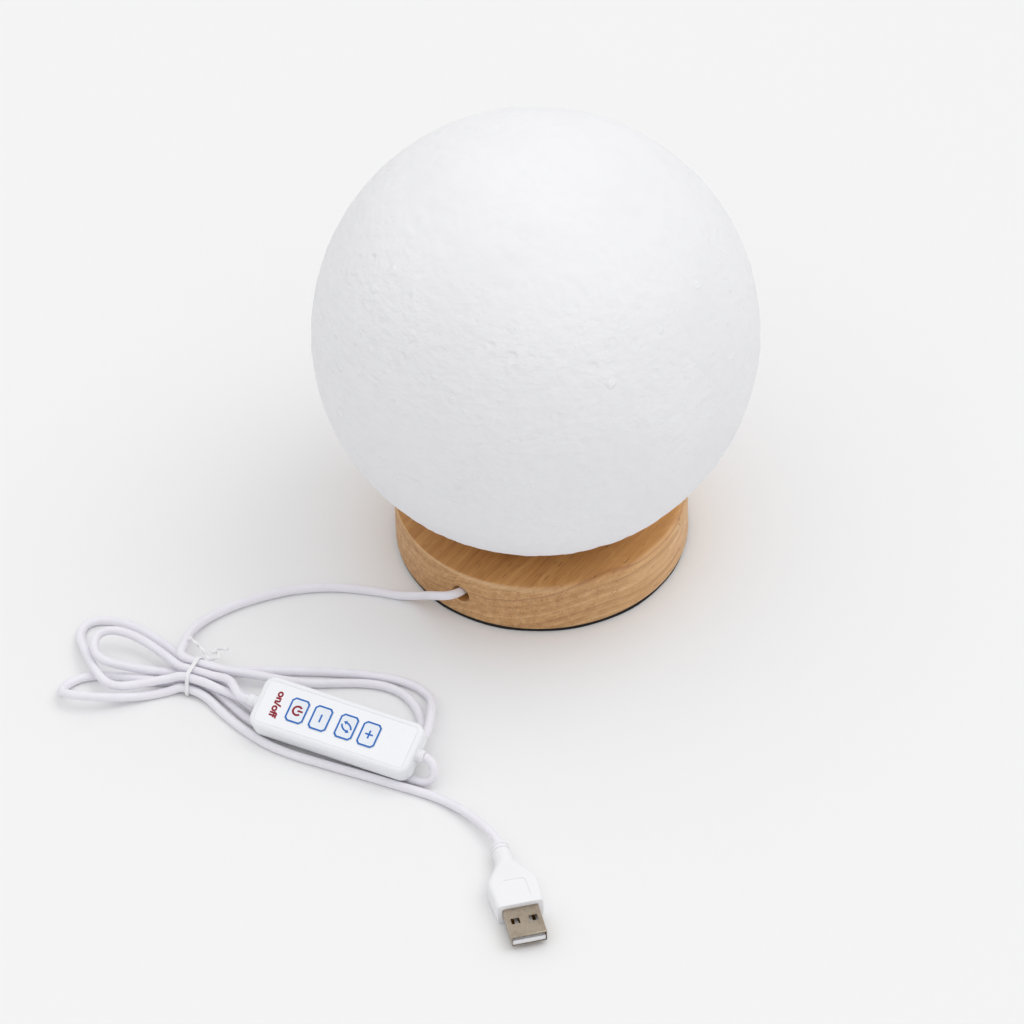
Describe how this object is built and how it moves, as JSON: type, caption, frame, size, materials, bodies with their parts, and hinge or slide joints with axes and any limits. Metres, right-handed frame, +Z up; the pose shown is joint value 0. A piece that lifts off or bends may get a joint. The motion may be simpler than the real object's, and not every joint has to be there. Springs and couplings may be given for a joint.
{
  "type": "moon lamp",
  "caption": "Relief globe table lamp on a round wooden base, with a light board inside, an inline key controller and a tied bundle of USB lead.",
  "frame": {"origin": "centre of the base on the floor", "axes": "+Z up through the globe; -Y is the front the picture is taken from; the cord leaves at the front left and lies on the floor in front and to the left"},
  "size_m": [0.2396, 0.2703, 0.1675],
  "materials": {
    "wood": "turned solid wood, oiled, light brown",
    "foam": "black foam pad, matt",
    "shade": "printed white plastic with a fine moon relief, matt, translucent",
    "white_plastic": "moulded white plastic, satin",
    "control_shell": "moulded white plastic, smooth",
    "label": "printed film, pale blue white",
    "key_film": "printed film keys, pale blue with blue outlines",
    "cord": "white vinyl cord, satin",
    "tie_film": "white coated wire tie",
    "steel": "zinc-plated steel",
    "nickel": "nickel-plated steel, warm tint",
    "gold": "gold-plated contacts",
    "board_white": "white coated circuit board",
    "board_green": "green circuit board",
    "chip": "light chips with a yellow window",
    "black_plastic": "black moulded parts"
  },
  "bodies": {
    "base": {"base_block": "wood", "foot_pad": "foam", "lamp_collar": "white_plastic", "collar_screws": "steel", "light_board": "board_white", "light_chips": "chip", "board_resistors": "black_plastic", "board_screws": "steel", "board_wires": "cord", "strain_clip": "white_plastic", "base_lead": "cord", "lamp_lead": "cord", "lamp_hank": "cord", "lamp_tail": "cord", "control_top": "control_shell", "control_bottom": "control_shell", "control_label": "label", "control_board": "board_green", "control_switches": "black_plastic", "control_chips": "black_plastic", "gland_in": "white_plastic", "gland_out": "white_plastic", "usb_return": "cord", "usb_hank": "cord", "usb_lead": "cord", "twist_tie": "tie_film", "tie_tails": "tie_film", "plug_grip": "white_plastic", "plug_shell": "nickel", "plug_tongue": "white_plastic", "plug_contacts": "gold"},
    "globe": {"moon_shade": "shade"},
    "key_power": {"key_power": "key_film"},
    "key_minus": {"key_minus": "key_film"},
    "key_cycle": {"key_cycle": "key_film"},
    "key_plus": {"key_plus": "key_film"}
  },
  "joints": [
    {"name": "globe_lift", "type": "slide", "parent": "base", "child": "globe", "axis": [0, 0, 1], "range_m": [0, 0.04]},
    {"name": "key_power_press", "type": "slide", "parent": "base", "child": "key_power", "axis": [0.1712, 0.3332, -0.9272], "range_m": [0, 0.0004], "stiffness_N_per_m": 600, "springref_m": -0.0004},
    {"name": "key_minus_press", "type": "slide", "parent": "base", "child": "key_minus", "axis": [0.1712, 0.3332, -0.9272], "range_m": [0, 0.0004], "stiffness_N_per_m": 600, "springref_m": -0.0004},
    {"name": "key_cycle_press", "type": "slide", "parent": "base", "child": "key_cycle", "axis": [0.1712, 0.3332, -0.9272], "range_m": [0, 0.0004], "stiffness_N_per_m": 600, "springref_m": -0.0004},
    {"name": "key_plus_press", "type": "slide", "parent": "base", "child": "key_plus", "axis": [0.1712, 0.3332, -0.9272], "range_m": [0, 0.0004], "stiffness_N_per_m": 600, "springref_m": -0.0004}
  ]
}
